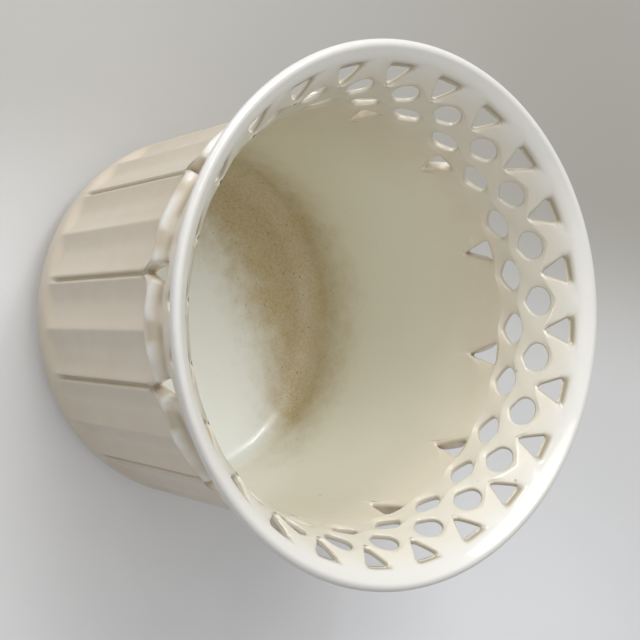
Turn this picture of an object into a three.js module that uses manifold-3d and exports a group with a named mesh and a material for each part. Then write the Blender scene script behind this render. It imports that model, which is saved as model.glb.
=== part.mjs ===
// Pierced and fluted flower pot (a cachepot) of slip-cast, cream-glazed earthenware.
// Millimetres, +Z up. The origin is the centre of the foot, on the surface that the pot stands on.
// The real pot is one fired piece. It is split here where a potter names its parts, on level
// planes, so each part rests on the one below it, face to face.

import * as THREE from 'three';
import { mergeVertices } from 'three/addons/utils/BufferGeometryUtils.js';
import Module from 'manifold-3d';

const wasm = await Module();
wasm.setup();

// Driving dimensions
const RIM_RADIUS = 95;
const POT_HEIGHT = 137;
const PANELS = 12;
const PANEL_ANGLE = 360 / PANELS;
const HALF_PANEL = PANEL_ANGLE / 2;

// Levels of the planes between the parts, and of the floor inside
const FOOT_TOP = 2.2;
const FLOOR_TOP = 6;
const DISH_TOP = 12;
const BODY_TOP = 84;
const SHOULDER_TOP = 105.5;
const COLLAR_TOP = 133.1;

// Side profile: a plain taper with a rounded heel, flaring to the rim
const TAPER_RADIUS = 66.6;
const TAPER_SLOPE = 0.1;
const HEEL_DEPTH = 6.6;
const HEEL_HEIGHT = 3.4;
const WALL = 4.2;
const FLARE_START = 98.5;
const FLARE_END = 135.5;
const FLARE_OUT = 15.1;
const FLARE_POWER = 3.2;
const BORE_FLARE_START = 60;
const BORE_FLARE_END = 136.5;
const BORE_FLARE_OUT = 15.4;
const BORE_FLARE_POWER = 5.9;
const FLOOR_FILLET = 9;
const FILLET_TOP = FLOOR_TOP + FLOOR_FILLET;

// Foot ring with its half-round bead, and the rolled lip
const FOOT_INNER = 54;
const FOOT_SLANT = 1;
const BEAD_OUT = 61.2;
const BEAD_RADIUS = FOOT_TOP / 2;
const LIP_RADIUS = 1.95;
const LIP_INNER_TURN = 126;
const LIP_JOIN = 134.9;

// Fluted panels: two hollow flutes each side of a sharp arris, with a groove between panels
const FLUTE_EDGE = 13.7;
const FLUTE_DEPTH = 1.7;
const GROOVE_DEPTH = 1.6;
const GROOVE_FADE = 88;
const FLUTE_START = 14;
const FLUTE_FULL = 21;
const ARCH_TOP = 95.2;
const ARCH_DIP = 3;
const ARCH_CORNER = 9.5;
const ARCH_CORNER_END = 14.4;
const ARCH_CORNER_DROP = 9;
const LEDGE = 1.7;

// The soft roll above the arches: how far it stands out, and where on its half wave it starts
const ROLL_OUT = 1.3;
const ROLL_FIRST = 0.2;
const ROLL_SIDE_POWER = 4;

// Pierced openings: height of the middle on the wall, the tilt of the wall there, the first
// angle and the step round the pot, and how far an opening's upper edge leans out to the inside
const LARGE_TRIANGLE = { height: 128.3, tilt: 38, first: PANEL_ANGLE / 4, step: HALF_PANEL, lean: 0.5 };
const TEARDROP = { height: 120.8, tilt: 27, first: 0, step: HALF_PANEL, lean: 0 };
const ALMOND = { height: 111, tilt: 15, first: PANEL_ANGLE / 4, step: HALF_PANEL, lean: 0 };
const SMALL_TRIANGLE = { height: 99.5, tilt: 3, first: HALF_PANEL, step: PANEL_ANGLE, lean: 0 };
const CUTTER_DEPTH = 8;

// Sizes of the openings, from their middles, along the face of the wall
const LARGE_TRIANGLE_SIZE = { halfWidth: 5.3, top: 3.6, point: -7, corner: 1.2 };
const SMALL_TRIANGLE_SIZE = { halfWidth: 4.3, top: 5.5, point: -8, corner: 1.4 };
const TEARDROP_SIZE = { radius: 5.6, point: -7.6 };
const ALMOND_SIZE = { halfWidth: 5.5, top: 4.8, shoulder: -4.3, keel: -5.3, keelHalfWidth: 1.65 };

// Facets
const ROUND_STEPS = 60;
const COLLAR_STEPS = 48;
const LIP_STEPS = 7;
const BEAD_STEPS = 4;
const TRIANGLE_SEGMENTS = 1;
const TEARDROP_SEGMENTS = 4;
const ALMOND_SEGMENTS = 3;
const PANEL_COLUMNS = [0, 3.3, 6.6, 9.9, 12.2, FLUTE_EDGE];
const ROLL_PARTS = [0, 0.3, 0.65, 1];
const HEEL_LEVELS = [FOOT_TOP, 3.6, 6, DISH_TOP];
const FILLET_TURNS = [50, 32, 17, 0];
const FLUTE_LEVELS = [DISH_TOP, FLUTE_START, (FLUTE_START + FLUTE_FULL) / 2, FLUTE_FULL, BODY_TOP];
const COLLAR_LEVELS = [SHOULDER_TOP, 113, 120, 127, COLLAR_TOP];

const rad = THREE.MathUtils.degToRad;
const clamp = THREE.MathUtils.clamp;
const smoothstep = THREE.MathUtils.smoothstep;

const GLAZE = { color: 0xe6e0d0, roughness: 0.22, metalness: 0 };
const BARE_CLAY = { color: 0xe2d8c2, roughness: 0.85, metalness: 0 };

// How far a flare has opened at height z, as a power curve from its start to its end
function flare(z, start, end, out, power) {
  return out * Math.max(0, (z - start) / (end - start)) ** power;
}

// Radius of the outside, before flutes and grooves are taken from it
function outerRadius(z) {
  const heel = HEEL_DEPTH * Math.exp(-(z - FOOT_TOP) / HEEL_HEIGHT);
  return TAPER_RADIUS + TAPER_SLOPE * z - heel + flare(z, FLARE_START, FLARE_END, FLARE_OUT, FLARE_POWER);
}

// Radius of the inside: a round fillet off the floor, the tapered wall, then its own flare
function innerRadius(z) {
  const wall = TAPER_RADIUS + TAPER_SLOPE * Math.max(z, FILLET_TOP) - WALL;
  const below = Math.max(0, FILLET_TOP - z);
  const fillet = FLOOR_FILLET - Math.sqrt(Math.max(0, FLOOR_FILLET ** 2 - below ** 2));
  return wall - fillet + flare(z, BORE_FLARE_START, BORE_FLARE_END, BORE_FLARE_OUT, BORE_FLARE_POWER);
}

// Height of the arched top of a panel, at an angle from the panel's middle: it dips at the arris
// between the two flutes and rounds down into the groove at each side
function archHeight(angle) {
  const across = clamp(Math.abs(angle) / FLUTE_EDGE, 0, 1);
  const corner = clamp((Math.abs(angle) - ARCH_CORNER) / (ARCH_CORNER_END - ARCH_CORNER), 0, 1);
  return ARCH_TOP - ARCH_DIP * (1 - across) ** 2 - ARCH_CORNER_DROP * (1 - Math.sqrt(1 - corner ** 2));
}

// Depth of the two hollow flutes of a panel: each is a shallow parabola across
function fluteDepth(angle) {
  const across = clamp(Math.abs(angle) / FLUTE_EDGE, 0, 1);
  return 4 * across * (1 - across) * FLUTE_DEPTH;
}

// Depth of the narrow groove between two panels, which fades out where the small triangle is
function grooveDepth(angle, z) {
  const across = clamp((Math.abs(angle) - FLUTE_EDGE) / (HALF_PANEL - FLUTE_EDGE), 0, 1);
  return GROOVE_DEPTH * across * (1 - smoothstep(z, GROOVE_FADE, SHOULDER_TOP));
}

// How far the roll above an arch stands out: a half wave up the pot, lower towards the grooves
function rollOut(angle, part) {
  const side = 1 - (Math.abs(angle) / HALF_PANEL) ** ROLL_SIDE_POWER;
  return ROLL_OUT * side * Math.sin(Math.PI * (ROLL_FIRST + (1 - ROLL_FIRST) * part));
}

// A ring whose cross-section changes with the angle. profileAt(angle) gives a closed outline of
// [radius, z] points, anticlockwise as seen with the axis on its left, the same number each time
function sweepRound(angles, profileAt) {
  const positions = [];
  const index = [];
  const outlines = angles.map(profileAt);
  const size = outlines[0].length;
  angles.forEach((angle, column) => {
    for (const [radius, z] of outlines[column]) {
      positions.push(radius * Math.cos(rad(angle)), radius * Math.sin(rad(angle)), z);
    }
  });
  for (let column = 0; column < angles.length; column++) {
    const here = column * size;
    const next = ((column + 1) % angles.length) * size;
    for (let row = 0; row < size; row++) {
      const up = (row + 1) % size;
      index.push(here + row, next + row, next + up, here + row, next + up, here + up);
    }
  }
  const geometry = new THREE.BufferGeometry();
  geometry.setAttribute('position', new THREE.Float32BufferAttribute(positions, 3));
  geometry.setIndex(index);
  return geometry;
}

// The same cross-section all the way round, turned about the Z axis
function revolve(outline) {
  const points = outline.map(([radius, z]) => new THREE.Vector2(radius, z));
  return new THREE.LatheGeometry(points, ROUND_STEPS).rotateX(Math.PI / 2);
}

// Angles of the columns of a fluted part, with the same columns in every panel
function panelAngles() {
  const half = PANEL_COLUMNS.slice(1);
  const columns = [...half.map((angle) => -angle).reverse(), ...PANEL_COLUMNS, HALF_PANEL];
  const angles = [];
  for (let panel = 0; panel < PANELS; panel++) {
    for (const column of columns) angles.push(panel * PANEL_ANGLE + column);
  }
  return angles;
}

// Angle from the middle of the nearest panel, from -15 to 15 degrees
function angleInPanel(angle) {
  return angle - PANEL_ANGLE * Math.round(angle / PANEL_ANGLE);
}

// Solids for cutting
function toManifold(geometry) {
  const bare = geometry.clone();
  bare.deleteAttribute('normal');
  bare.deleteAttribute('uv');
  const merged = mergeVertices(bare, 1e-5);
  const mesh = new wasm.Mesh({
    numProp: 3,
    vertProperties: new Float32Array(merged.attributes.position.array),
    triVerts: new Uint32Array(merged.index.array),
  });
  return new wasm.Manifold(mesh);
}

function toGeometry(solid) {
  const mesh = solid.getMesh();
  const geometry = new THREE.BufferGeometry();
  geometry.setAttribute('position', new THREE.BufferAttribute(mesh.vertProperties, 3));
  geometry.setIndex(new THREE.BufferAttribute(mesh.triVerts, 1));
  return geometry;
}

// Outlines of the openings: x runs round the pot, y up the wall, with 0, 0 in the middle
function triangleShape({ halfWidth, top, point, corner }) {
  const shape = new THREE.Shape();
  const slant = halfWidth / (top - point);
  shape.moveTo(-halfWidth + corner, top);
  shape.lineTo(halfWidth - corner, top);
  shape.quadraticCurveTo(halfWidth, top, halfWidth - slant * corner, top - corner);
  shape.lineTo(slant * corner, point + corner);
  shape.quadraticCurveTo(0, point, -slant * corner, point + corner);
  shape.lineTo(-halfWidth + slant * corner, top - corner);
  shape.quadraticCurveTo(-halfWidth, top, -halfWidth + corner, top);
  return shape;
}

function teardropShape({ radius, point }) {
  const shape = new THREE.Shape();
  const touch = Math.acos(radius / -point);
  shape.moveTo(0, point);
  shape.absarc(0, 0, radius, touch - Math.PI / 2, Math.PI * 1.5 - touch, false);
  shape.lineTo(0, point);
  return shape;
}

function almondShape({ halfWidth, top, shoulder, keel, keelHalfWidth }) {
  const shape = new THREE.Shape();
  shape.moveTo(halfWidth, 0);
  shape.absellipse(0, 0, halfWidth, top, 0, Math.PI, false, 0);
  shape.lineTo(-keelHalfWidth, shoulder);
  shape.quadraticCurveTo(0, keel, keelHalfWidth, shoulder);
  shape.lineTo(halfWidth, 0);
  return shape;
}

// Solid that cuts one opening. Its upper edge leans towards the rim on the way in
function openingCutter(shape, curveSegments, lean) {
  const block = new THREE.ExtrudeGeometry(shape, {
    depth: CUTTER_DEPTH,
    bevelEnabled: false,
    curveSegments,
  });
  const corners = block.attributes.position;
  for (let i = 0; i < corners.count; i++) {
    const y = corners.getY(i);
    if (y > 0) corners.setY(i, y + lean * (CUTTER_DEPTH / 2 - corners.getZ(i)));
  }
  return toManifold(block);
}

// Cuts a ring of openings square to the tilted wall
function pierce(solid, shape, curveSegments, { height, tilt, first, step, lean }) {
  const cutter = openingCutter(shape, curveSegments, lean);
  const middle = (outerRadius(height) + innerRadius(height)) / 2;
  let cut = solid;
  for (let angle = first; angle < 360; angle += step) {
    const around = new THREE.Vector3(-Math.sin(rad(angle)), Math.cos(rad(angle)), 0);
    const radial = new THREE.Vector3(Math.cos(rad(angle)), Math.sin(rad(angle)), 0);
    const out = radial.clone().multiplyScalar(Math.cos(rad(tilt))).setZ(-Math.sin(rad(tilt)));
    const up = radial.clone().multiplyScalar(Math.sin(rad(tilt))).setZ(Math.cos(rad(tilt)));
    const place = new THREE.Matrix4().makeBasis(around, up, out);
    const start = radial.clone().multiplyScalar(middle).setZ(height).addScaledVector(out, -CUTTER_DEPTH / 2);
    place.setPosition(start);
    cut = cut.subtract(cutter.transform(place.elements));
  }
  return cut;
}

// Points on an arc in the profile, from one turn to another
function arcPoints(radius, z, size, from, to, steps) {
  const points = [];
  for (let step = 0; step <= steps; step++) {
    const turn = rad(from + ((to - from) * step) / steps);
    points.push([radius + size * Math.cos(turn), z + size * Math.sin(turn)]);
  }
  return points;
}

// Bare ring that the pot stands on, with a half-round bead at its edge
function footRing() {
  const start = [FOOT_INNER, 0];
  const bead = arcPoints(BEAD_OUT - BEAD_RADIUS, BEAD_RADIUS, BEAD_RADIUS, -90, 90, BEAD_STEPS);
  return revolve([start, ...bead, [FOOT_INNER - FOOT_SLANT, FOOT_TOP], start]);
}

// Floor of the pot with its rounded heel, and the fillet where the floor turns up into the wall
function baseDish() {
  const heel = HEEL_LEVELS.map((z) => [outerRadius(z), z]);
  const turns = FILLET_TURNS.map((turn) => FILLET_TOP - FLOOR_FILLET * Math.cos(rad(turn)));
  const fillet = [DISH_TOP, ...turns].map((z) => [innerRadius(z), z]);
  return revolve([[0, FOOT_TOP], ...heel, ...fillet, [0, FLOOR_TOP]]);
}

// Wall with twelve panels of two hollow flutes each
function flutedBody() {
  const inside = [BODY_TOP, FILLET_TOP, DISH_TOP].map((z) => [innerRadius(z), z]);
  return sweepRound(panelAngles(), (angle) => {
    const inPanel = angleInPanel(angle);
    const outside = FLUTE_LEVELS.map((z) => {
      const carved = smoothstep(z, FLUTE_START, FLUTE_FULL);
      return [outerRadius(z) - carved * (fluteDepth(inPanel) + grooveDepth(inPanel, z)), z];
    });
    return [...outside, ...inside];
  });
}

// The arched tops of the panels, the soft roll above them, and twelve small triangles in line
// with the grooves
function archedShoulder() {
  const inside = [SHOULDER_TOP, BODY_TOP].map((z) => [innerRadius(z), z]);
  const ring = sweepRound(panelAngles(), (angle) => {
    const inPanel = angleInPanel(angle);
    const arch = archHeight(inPanel);
    const rollHeight = SHOULDER_TOP - arch - LEDGE;
    const carved = (z) => outerRadius(z) - grooveDepth(inPanel, z);
    const rows = [
      [carved(BODY_TOP) - fluteDepth(inPanel), BODY_TOP],
      [carved(arch) - fluteDepth(inPanel), arch],
    ];
    for (const part of ROLL_PARTS) {
      const z = arch + LEDGE + rollHeight * part;
      rows.push([carved(z) + rollOut(inPanel, part), z]);
    }
    return [...rows, ...inside];
  });
  const shape = triangleShape(SMALL_TRIANGLE_SIZE);
  return toGeometry(pierce(toManifold(ring), shape, TRIANGLE_SEGMENTS, SMALL_TRIANGLE));
}

// Flaring band pierced with three rows of openings, so that only crossing strands are left
function latticeCollar() {
  const outside = COLLAR_LEVELS.map((z) => [outerRadius(z), z]);
  const inside = COLLAR_LEVELS.map((z) => [innerRadius(z), z]).reverse();
  const angles = Array.from({ length: COLLAR_STEPS }, (_, column) => (column * 360) / COLLAR_STEPS);
  let ring = toManifold(sweepRound(angles, () => [...outside, ...inside]));
  ring = pierce(ring, triangleShape(LARGE_TRIANGLE_SIZE), TRIANGLE_SEGMENTS, LARGE_TRIANGLE);
  ring = pierce(ring, teardropShape(TEARDROP_SIZE), TEARDROP_SEGMENTS, TEARDROP);
  ring = pierce(ring, almondShape(ALMOND_SIZE), ALMOND_SEGMENTS, ALMOND);
  return toGeometry(ring);
}

// Rolled lip, rounded outside and running into the flare inside
function rimLip() {
  const radius = RIM_RADIUS - LIP_RADIUS;
  const lip = arcPoints(radius, POT_HEIGHT - LIP_RADIUS, LIP_RADIUS, -90, LIP_INNER_TURN, LIP_STEPS);
  const start = [innerRadius(COLLAR_TOP), COLLAR_TOP];
  return revolve([start, ...lip, [innerRadius(LIP_JOIN), LIP_JOIN], start]);
}

const pot = new THREE.Group();

function addPart(name, geometry, finish) {
  const mesh = new THREE.Mesh(geometry, new THREE.MeshStandardMaterial(finish));
  mesh.name = name;
  pot.add(mesh);
}

addPart('foot_ring', footRing(), BARE_CLAY);
addPart('base_dish', baseDish(), GLAZE);
addPart('fluted_body', flutedBody(), GLAZE);
addPart('arched_shoulder', archedShoulder(), GLAZE);
addPart('lattice_collar', latticeCollar(), GLAZE);
addPart('rim_lip', rimLip(), GLAZE);

export default pot;
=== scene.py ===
"""Pierced and fluted flower pot of slip-cast, cream-glazed earthenware.

Lengths are in millimetres and become metres when a mesh is made. The wall is a surface of two
parameters, the angle round the pot in degrees and the level up it. Each opening is a round cell of
that surface: on the inside face rows of points run from the middle of the strands to the opening,
and on the outside face back again.
"""

import bpy
import numpy as np
from mathutils import Matrix, Vector


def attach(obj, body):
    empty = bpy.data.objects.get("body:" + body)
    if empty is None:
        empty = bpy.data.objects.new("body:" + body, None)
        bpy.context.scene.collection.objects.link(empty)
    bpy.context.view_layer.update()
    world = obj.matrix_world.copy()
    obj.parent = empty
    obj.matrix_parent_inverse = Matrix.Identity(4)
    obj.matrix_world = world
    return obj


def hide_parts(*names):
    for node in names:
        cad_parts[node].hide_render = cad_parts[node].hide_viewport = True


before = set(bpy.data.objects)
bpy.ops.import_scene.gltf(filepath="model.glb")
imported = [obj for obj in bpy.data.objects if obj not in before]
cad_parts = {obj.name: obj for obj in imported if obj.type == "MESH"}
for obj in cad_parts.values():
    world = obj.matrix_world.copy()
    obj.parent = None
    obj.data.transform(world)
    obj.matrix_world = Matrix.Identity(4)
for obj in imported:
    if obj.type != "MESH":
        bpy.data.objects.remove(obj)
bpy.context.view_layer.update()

MM = 0.001

# Levels of the planes between the parts
FOOT_TOP = 2.2
FLOOR_TOP = 6
DISH_TOP = 12
BODY_TOP = 84
SHOULDER_TOP = 105.5
COLLAR_TOP = 133.1
POT_HEIGHT = 137

# Side profile
RIM_RADIUS = 95
TAPER_RADIUS = 66.6
TAPER_SLOPE = 0.1
HEEL_DEPTH = 6.6
HEEL_HEIGHT = 3.4
CREASE_LEVEL = 7.4
CREASE_DEPTH = 0.3
CREASE_HALF_WIDTH = 0.45
WALL = 4.2
FLARE = {"start": 98.5, "end": 135.5, "out": 15.1, "power": 3.2}
BORE_FLARE = {"start": 60, "end": 136.5, "out": 15.4, "power": 5.9}
FLOOR_FILLET = 9
FILLET_TOP = FLOOR_TOP + FLOOR_FILLET
SQUARE_CUT_LEVEL = 112

# Foot ring, with its sloping inner side, soft inner edge and half-round bead
FOOT_INNER = 54
FOOT_TOP_INNER = 53
FOOT_SLOPE_POINT = (53.6, 1.2)
FOOT_EDGE = 0.5
FOOT_FLAT_INSET = 1
BEAD_OUT = 61.2

# Rolled lip: the turns where the roll starts and ends, and how hard each curve beside it pulls
LIP_RADIUS = 1.95
LIP_OUTER_TURN = -62
LIP_INNER_TURN = 126
LIP_OUTSIDE_PULLS = (3, 3)
LIP_INSIDE_PULLS = (3.5, 4)

# Twelve panels of two flutes each: degrees from the panel's middle, levels and depths
PANEL_ANGLE = 30
HALF_PANEL = 15
HALF_PANELS = 24
FLUTE_EDGE = 13.7
FLUTE_DEPTH = 2.4
FLUTE_GROWS = (14, 21)
ARRIS_SOFTNESS = 0.5
GROOVE_DEPTH = 1.4
GROOVE_HALF_WIDTH = 0.68
GROOVE_GROWS = (17, 24)
GROOVE_FADES = (90, SHOULDER_TOP)

# Arched tops of the panels, with elliptical corners, and the soft roll that rises round them
ARCH_TOP = 95.2
ARCH_DIP = 1.6
ARCH_EDGE = 14.4
CORNER_WIDTH = 8
CORNER_DROP = 10.5
MM_PER_DEGREE = 1.33
ROLL_OUT = 3.1
ROLL_RISE = 2.7
ROLL_POWER = 2.2
ROLL_GROWS = (84, 92)
ROLL_FADES = (98.5, 103.6)
ROLL_SIDE_LOSS = 0.5
COVE_HEIGHT = 3.4

# Unevenness of the roll: waves round the pot, where they start, and their shares
LUMPS = ((17, 0.9, 0.35), (31, 2.3, 0.4), (47, 4.1, 0.25))
LUMP_SIZE = 0.07

# Levels of the openings' middles, and how far along each row starts from the row above it
LARGE_TRIANGLE_LEVEL = 128.0
TEARDROP_LEVEL = 120.9
ALMOND_LEVEL = 111.0
SMALL_TRIANGLE_LEVEL = 100.0
OFFSET_ANGLE = 7.5

# Middles of the strands, where one opening's cell meets the next
CROSSING_HIGH = 127.0
CROSSING_UPPER = 122.3
CROSSING_LOWER = 115.8
CROSSING_LOW = 113.0
SEAM_LOW = 105.3
SEAM_RISE = 1.3

# Sizes of the openings in the middle of the wall's thickness, from their own middles
LARGE_TRIANGLE = {"half_width": 5.0, "top": 2.6, "point": 7.0, "sharpness": 8}
SMALL_TRIANGLE = {"half_width": 4.3, "top": 4.8, "point": 8.7, "sharpness": 5}
TEARDROP_WIDTH = 5.4
TEARDROP_RISE = 4.6
TEARDROP_POINT_SOFTNESS = 12
ALMOND_WIDTH = 5.5
ALMOND_TOP = 4.1
ALMOND_TOP_POWER = 2
ALMOND_POINT = 4.4
ALMOND_POINT_POWER = 1.35

# Soft edges of the openings: a straight wall, a quarter turn, then a slightly crowned strand
EDGE_WIDTH = 1.1
EDGE_SHARE_OF_ROOM = 0.75
EDGE_STRAIGHT = 0.35
EDGE_TURNS = [0, 25, 48, 69, 90]
CROWN = 0.3

# Hand cutting: the most that an opening's size and turn change, and the waves that pick how much
SIZE_CHANGE = 0.04
TURN_CHANGE = 0.06
CHANCE_WAVES = np.array([7.13, 3.37])
NEARBY_TURN = 0.02

# Bevels inside the large triangles, deeper towards the rim
BEVEL = {"half_width": 7.1, "top": 5.9, "point": 8.7, "sharpness": 6}
BEVEL_SIDE = 0.6
BEVEL_TOP = 1.9
BEVEL_DEEPENS = (0.2, 0.8)
BEVEL_POWER = 1.3

# Rows of points, as levels, radii or parts of the way
HEEL_LEVELS = [2.2, 2.6, 3.1, 3.7, 4.4, 5.2, 5.9]
CREASE_STEPS = np.array([-2.2, -1.5, -1, -0.6, -0.25, 0, 0.25, 0.6, 1, 1.5, 2.2])
ABOVE_CREASE_LEVELS = [9, 10.5, DISH_TOP]
FLOOR_RADII = [0, 8, 20, 32, 42, 49, 53]
UNDER_RADII = [0, 20, 40]
FILLET_TURNS = np.linspace(0, 71, 13)[1:]
FILLET_CLEARANCE = 0.15
FLUTE_LEVELS = [*range(12, 25), 26]
UPPER_BODY_LEVELS = np.linspace(30, BODY_TOP, 10)
BORE_LEVELS = np.array([12, 12.8, 13.7, 15, 18, 30, 45, 60, 68, 76, BODY_TOP])
PANEL_TOP_PARTS = np.array([0, 0.25, 0.5, 0.7, 0.83, 0.92, 0.97])
COVE_PARTS = np.array([0, 0.04, 0.09, 0.16, 0.25, 0.36, 0.5, 0.66, 0.82, 1])
SHOULDER_BORE_PARTS = np.linspace(0, 1, 5)
STRIP_PARTS = np.linspace(0, 1, 19)
STRAND_PARTS = [0.35, 0.7, 1]
BEVEL_PARTS = [0.12, 0.26, 0.42, 0.58, 0.72, 0.86, 1]

# Numbers of points and steps, and limits of the sums
HALF_COLUMNS = 32
COLUMN_GATHER = 0.75
PANEL_STRIP_COLUMN = 17
TOP_SEGMENTS = 18
STRAND_SEGMENTS = 9
UPRIGHT_SEGMENTS = 8
LOW_UPRIGHT_SEGMENTS = 10
RING_COLUMNS = 384
FOOT_EDGE_POINTS = 5
FOOT_FLAT_POINTS = 6
BEAD_POINTS = 13
LIP_ROLL_POINTS = 17
LIP_OUTSIDE_POINTS = 8
LIP_INSIDE_POINTS = 9
WALL_SAMPLES = 1601
REACH_GUESSES = 40
WELDS_PER_MM = 1000
SHORTEST_NORMAL = 1e-12


def clamp(value):
    """The value, kept from 0 to 1."""
    return np.clip(value, 0, 1)


def smooth(value, start, end):
    """3 t squared less 2 t cubed, where t goes from 0 at start to 1 at end."""
    part = clamp((value - start) / (end - start))
    return part * part * (3 - 2 * part)


def bell(distance, width):
    """E to the power of minus the square of the distance over the width."""
    return np.exp(-((distance / width) ** 2))


def flare(z, start, end, out, power):
    """Out times the part of the way from start to end, raised to a power."""
    return out * np.maximum(0, (z - start) / (end - start)) ** power


def outer_radius(z):
    """Straight taper, less a heel that dies away as an exponential, plus the flare to the rim."""
    heel = HEEL_DEPTH * np.exp(-(z - FOOT_TOP) / HEEL_HEIGHT)
    return TAPER_RADIUS + TAPER_SLOPE * z - heel + flare(z, **FLARE)


def inner_radius(z):
    """Straight taper inside the wall, a quarter circle down to the floor, plus the bore's flare."""
    wall = TAPER_RADIUS + TAPER_SLOPE * np.maximum(z, FILLET_TOP) - WALL
    below = np.maximum(0, FILLET_TOP - z)
    fillet = FLOOR_FILLET - np.sqrt(np.maximum(0, FLOOR_FILLET**2 - below**2))
    return wall - fillet + flare(z, **BORE_FLARE)


def in_panel(angle):
    """Angle from the middle of the nearest panel, without its sign."""
    return np.abs(angle - PANEL_ANGLE * np.round(angle / PANEL_ANGLE))


def crown_height(angle):
    """Top of a panel without its corners: a squared cosine that dips at the arris."""
    return ARCH_TOP - ARCH_DIP * np.cos(np.pi / 2 * clamp(in_panel(angle) / FLUTE_EDGE)) ** 2


def arch_height(angle):
    """Top of a panel: the crown, less a quarter ellipse at each corner."""
    corner = clamp(1 + (in_panel(angle) - ARCH_EDGE) * MM_PER_DEGREE / CORNER_WIDTH)
    return crown_height(angle) - CORNER_DROP * (1 - np.sqrt(1 - corner**2))


def beyond_arch(angle, z):
    """Distance outside a panel's arched edge, as for a box with round corners, z scaled to them."""
    squeeze = CORNER_WIDTH / CORNER_DROP
    across = (in_panel(angle) - ARCH_EDGE) * MM_PER_DEGREE + CORNER_WIDTH
    up = (z - crown_height(angle)) * squeeze + CORNER_WIDTH
    inside = np.minimum(np.maximum(across, up), 0)
    return np.hypot(np.maximum(across, 0), np.maximum(up, 0)) + inside - CORNER_WIDTH


def flute_depth(angle):
    """Two shallow parabolas a panel, with the sharp arris between them softened by the glaze."""
    softened = np.sqrt(in_panel(angle) ** 2 + ARRIS_SOFTNESS**2)
    across = clamp(softened / FLUTE_EDGE)
    return 4 * across * (1 - across) * FLUTE_DEPTH


def groove_shape(angle, z):
    """Across the groove 1 over 1 plus the fourth power of the distance; smooth at its two ends."""
    away = np.radians(HALF_PANEL - in_panel(angle)) * outer_radius(z)
    ends = smooth(z, *GROOVE_GROWS) * (1 - smooth(z, *GROOVE_FADES))
    return ends / (1 + (away / GROOVE_HALF_WIDTH) ** 4)


def lumps(angle):
    """Three sine waves round the pot, added up, so the roll is not quite even."""
    return sum(share * np.sin(waves * np.radians(angle) + turn) for waves, turn, share in LUMPS)


def relief(angle, z):
    """How far the outside stands out. Flutes sink to the arched edge; there a roll rises at once.

    The rise is 1 less a power of the way left to the crest, and a smooth step ends the roll above.
    """
    way = clamp(beyond_arch(angle, z) / ROLL_RISE)
    rise = 1 - (1 - way) ** ROLL_POWER
    flutes = flute_depth(angle) * smooth(z, *FLUTE_GROWS)
    side = 1 - ROLL_SIDE_LOSS * (in_panel(angle) / HALF_PANEL) ** 4
    roll = ROLL_OUT * side * (1 + LUMP_SIZE * lumps(angle)) * smooth(z, *ROLL_GROWS)
    roll = roll * (1 - smooth(z, *ROLL_FADES))
    return rise * (flutes + roll) - flutes - GROOVE_DEPTH * groove_shape(angle, z)


# The wall from the body's top to the lip: the middle of its thickness, the run up that middle, and
# the tilt of the way through it, which turns from level to square with the wall
LEVELS = np.linspace(BODY_TOP, COLLAR_TOP, WALL_SAMPLES)
MIDDLE = (outer_radius(LEVELS) + inner_radius(LEVELS)) / 2
RUNS = np.concatenate([[0], np.cumsum(np.hypot(np.diff(MIDDLE), np.diff(LEVELS)))])
THROUGH = np.arctan(np.gradient(MIDDLE, LEVELS)) * smooth(LEVELS, BODY_TOP, SQUARE_CUT_LEVEL)


def reach(face_radius, side):
    """Distance from the wall's middle to a face, found by averaging each guess with the next."""
    distance = np.abs(face_radius(LEVELS) - MIDDLE)
    for _ in range(REACH_GUESSES):
        level = LEVELS - side * distance * np.sin(THROUGH)
        found = side * (face_radius(level) - MIDDLE) / np.cos(THROUGH)
        distance = (distance + found) / 2
    return distance


OUT_REACH = reach(outer_radius, 1)
IN_REACH = reach(inner_radius, -1)


def round_points(angle, radius, z):
    """The radius times the cosine and the sine of the angle, and the level."""
    turn, radius, z = np.broadcast_arrays(np.radians(angle), radius, z)
    return np.stack([radius * np.cos(turn), radius * np.sin(turn), z], axis=-1)


def wall_points(angle, level, depth, low=0):
    """Points in the wall: depth is -1 on the inside face, 0 in the middle and 1 on the outside.

    Each is the middle's point plus the depth's share of the reach along the way through. The
    outside face has the relief, and low is how far the face lies under its usual place.
    """
    through = np.interp(level, LEVELS, THROUGH)
    outside = np.interp(level, LEVELS, OUT_REACH) + relief(angle, level) - low
    inside = np.interp(level, LEVELS, IN_REACH) - low
    offset = np.where(depth > 0, depth * outside, depth * inside)
    radius = np.interp(level, LEVELS, MIDDLE) + offset * np.cos(through)
    return round_points(angle, radius, level - offset * np.sin(through))


def seam_level(angle):
    """Where shoulder and collar meet: a squared cosine wave, low under the almonds."""
    return SEAM_LOW + SEAM_RISE * np.cos(np.pi * angle / HALF_PANEL) ** 2


def all_round(angles):
    """The angles of one half panel, repeated for all of them round the pot."""
    return (HALF_PANEL * np.arange(HALF_PANELS)[:, None] + angles).ravel()


# Angles across half a panel, drawn to both ends by a sine, for the arris and the groove
EVEN = np.linspace(0, 1, HALF_COLUMNS + 1)
HALF_PANEL_ANGLES = HALF_PANEL * (EVEN - COLUMN_GATHER * np.sin(2 * np.pi * EVEN) / (2 * np.pi))
FINE_ANGLES = all_round(HALF_PANEL_ANGLES[:-1])
TOP_ANGLES = all_round(HALF_PANEL * np.arange(TOP_SEGMENTS) / TOP_SEGMENTS)


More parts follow.
